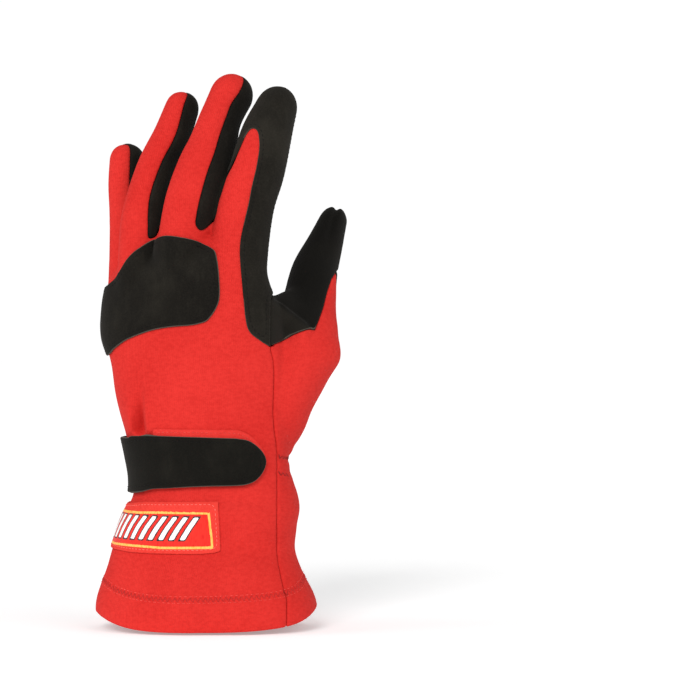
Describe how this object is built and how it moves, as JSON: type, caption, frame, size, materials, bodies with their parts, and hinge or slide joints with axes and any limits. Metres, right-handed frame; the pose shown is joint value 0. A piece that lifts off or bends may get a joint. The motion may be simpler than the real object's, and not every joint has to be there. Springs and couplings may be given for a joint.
{
  "type": "racing glove",
  "caption": "Left-hand racing glove, as worn: red double-layer knit with black suede palm, knuckle patch and wrist strap, and a flared gauntlet cuff.",
  "frame": {"origin": "middle of the wrist at the height of the strap, where the wearer's wrist holds the glove", "axes": "+Z from the wrist towards the fingertips, +X towards the thumb, -Y out of the back of the hand"},
  "size_m": [0.1293, 0.0874, 0.2889],
  "materials": {
    "red_knit": "matt red double-layer knit, fine jersey face with a soft fuzz",
    "red_knit_side": "matt red double-layer knit, same cloth as the back",
    "palm_suede": "black suede, brushed nap with soft lighter scuffs",
    "thumb_suede": "black suede, brushed nap",
    "patch_suede": "black suede, grey cut edge, stitched inside its edge",
    "strip_suede": "black suede, grey cut edge, stitched inside its edge",
    "pad_knit": "matt red knit landing pad with a stitched edge",
    "strap_suede": "black suede strap, grey cut edge, stitched inside its edge",
    "label_weave": "red woven label with a yellow line round a row of slanted white bars, no lettering"
  },
  "bodies": {
    "root": {"back": "red_knit", "side": "red_knit_side", "palm": "palm_suede", "thumb_panel": "thumb_suede", "knuckle_patch": "patch_suede", "index_strip": "strip_suede", "strap_pad": "pad_knit", "strap": "strap_suede", "label": "label_weave"}
  },
  "joints": []
}
